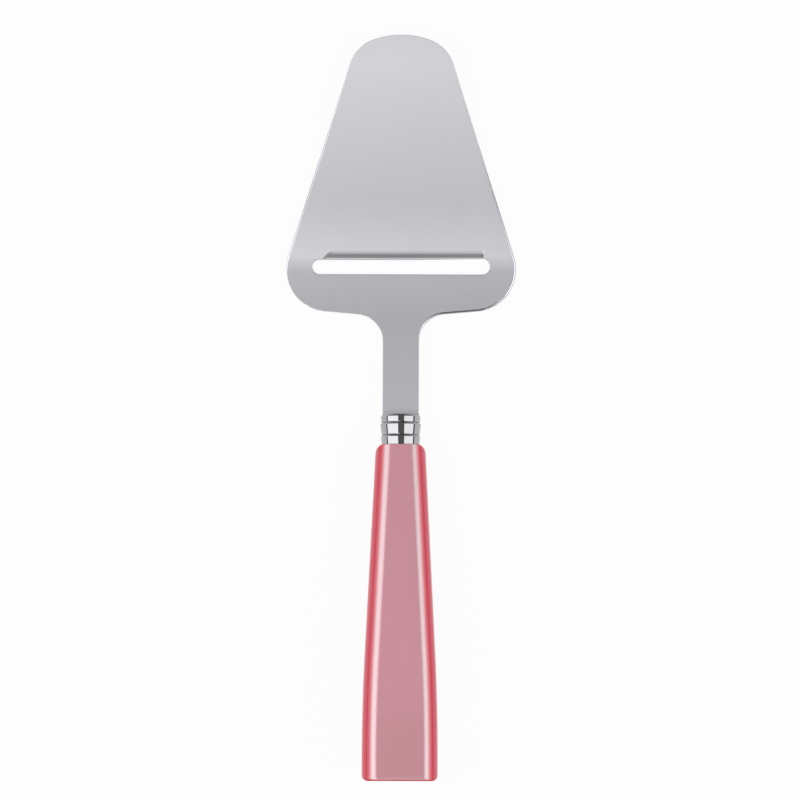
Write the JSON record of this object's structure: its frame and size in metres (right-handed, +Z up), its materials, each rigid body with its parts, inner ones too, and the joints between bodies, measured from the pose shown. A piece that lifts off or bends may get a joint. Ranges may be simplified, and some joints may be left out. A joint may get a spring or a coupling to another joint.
{
  "type": "cheese slicer",
  "caption": "Cheese slicer with a flat trapezoidal steel blade, a slot with a pressed cutting lip, a beaded chrome ferrule and a tapered pearl pink handle.",
  "frame": {"origin": "middle of the bounding box on the table that the slicer lies on", "axes": "+Y along the slicer towards the tip of the blade, +Z up from the table, +X across the blade"},
  "size_m": [0.0716, 0.2316, 0.0245],
  "materials": {
    "satin_steel": "satin-polished stainless steel sheet",
    "chrome_plate": "polished chrome plate",
    "pearl_acrylic": "pearlised moulded acrylic, polished",
    "bonding_resin": "clear amber resin, cast in place"
  },
  "bodies": {
    "root": {"blade": "satin_steel", "ferrule": "chrome_plate", "handle": "pearl_acrylic", "tang_resin": "bonding_resin"}
  },
  "joints": []
}
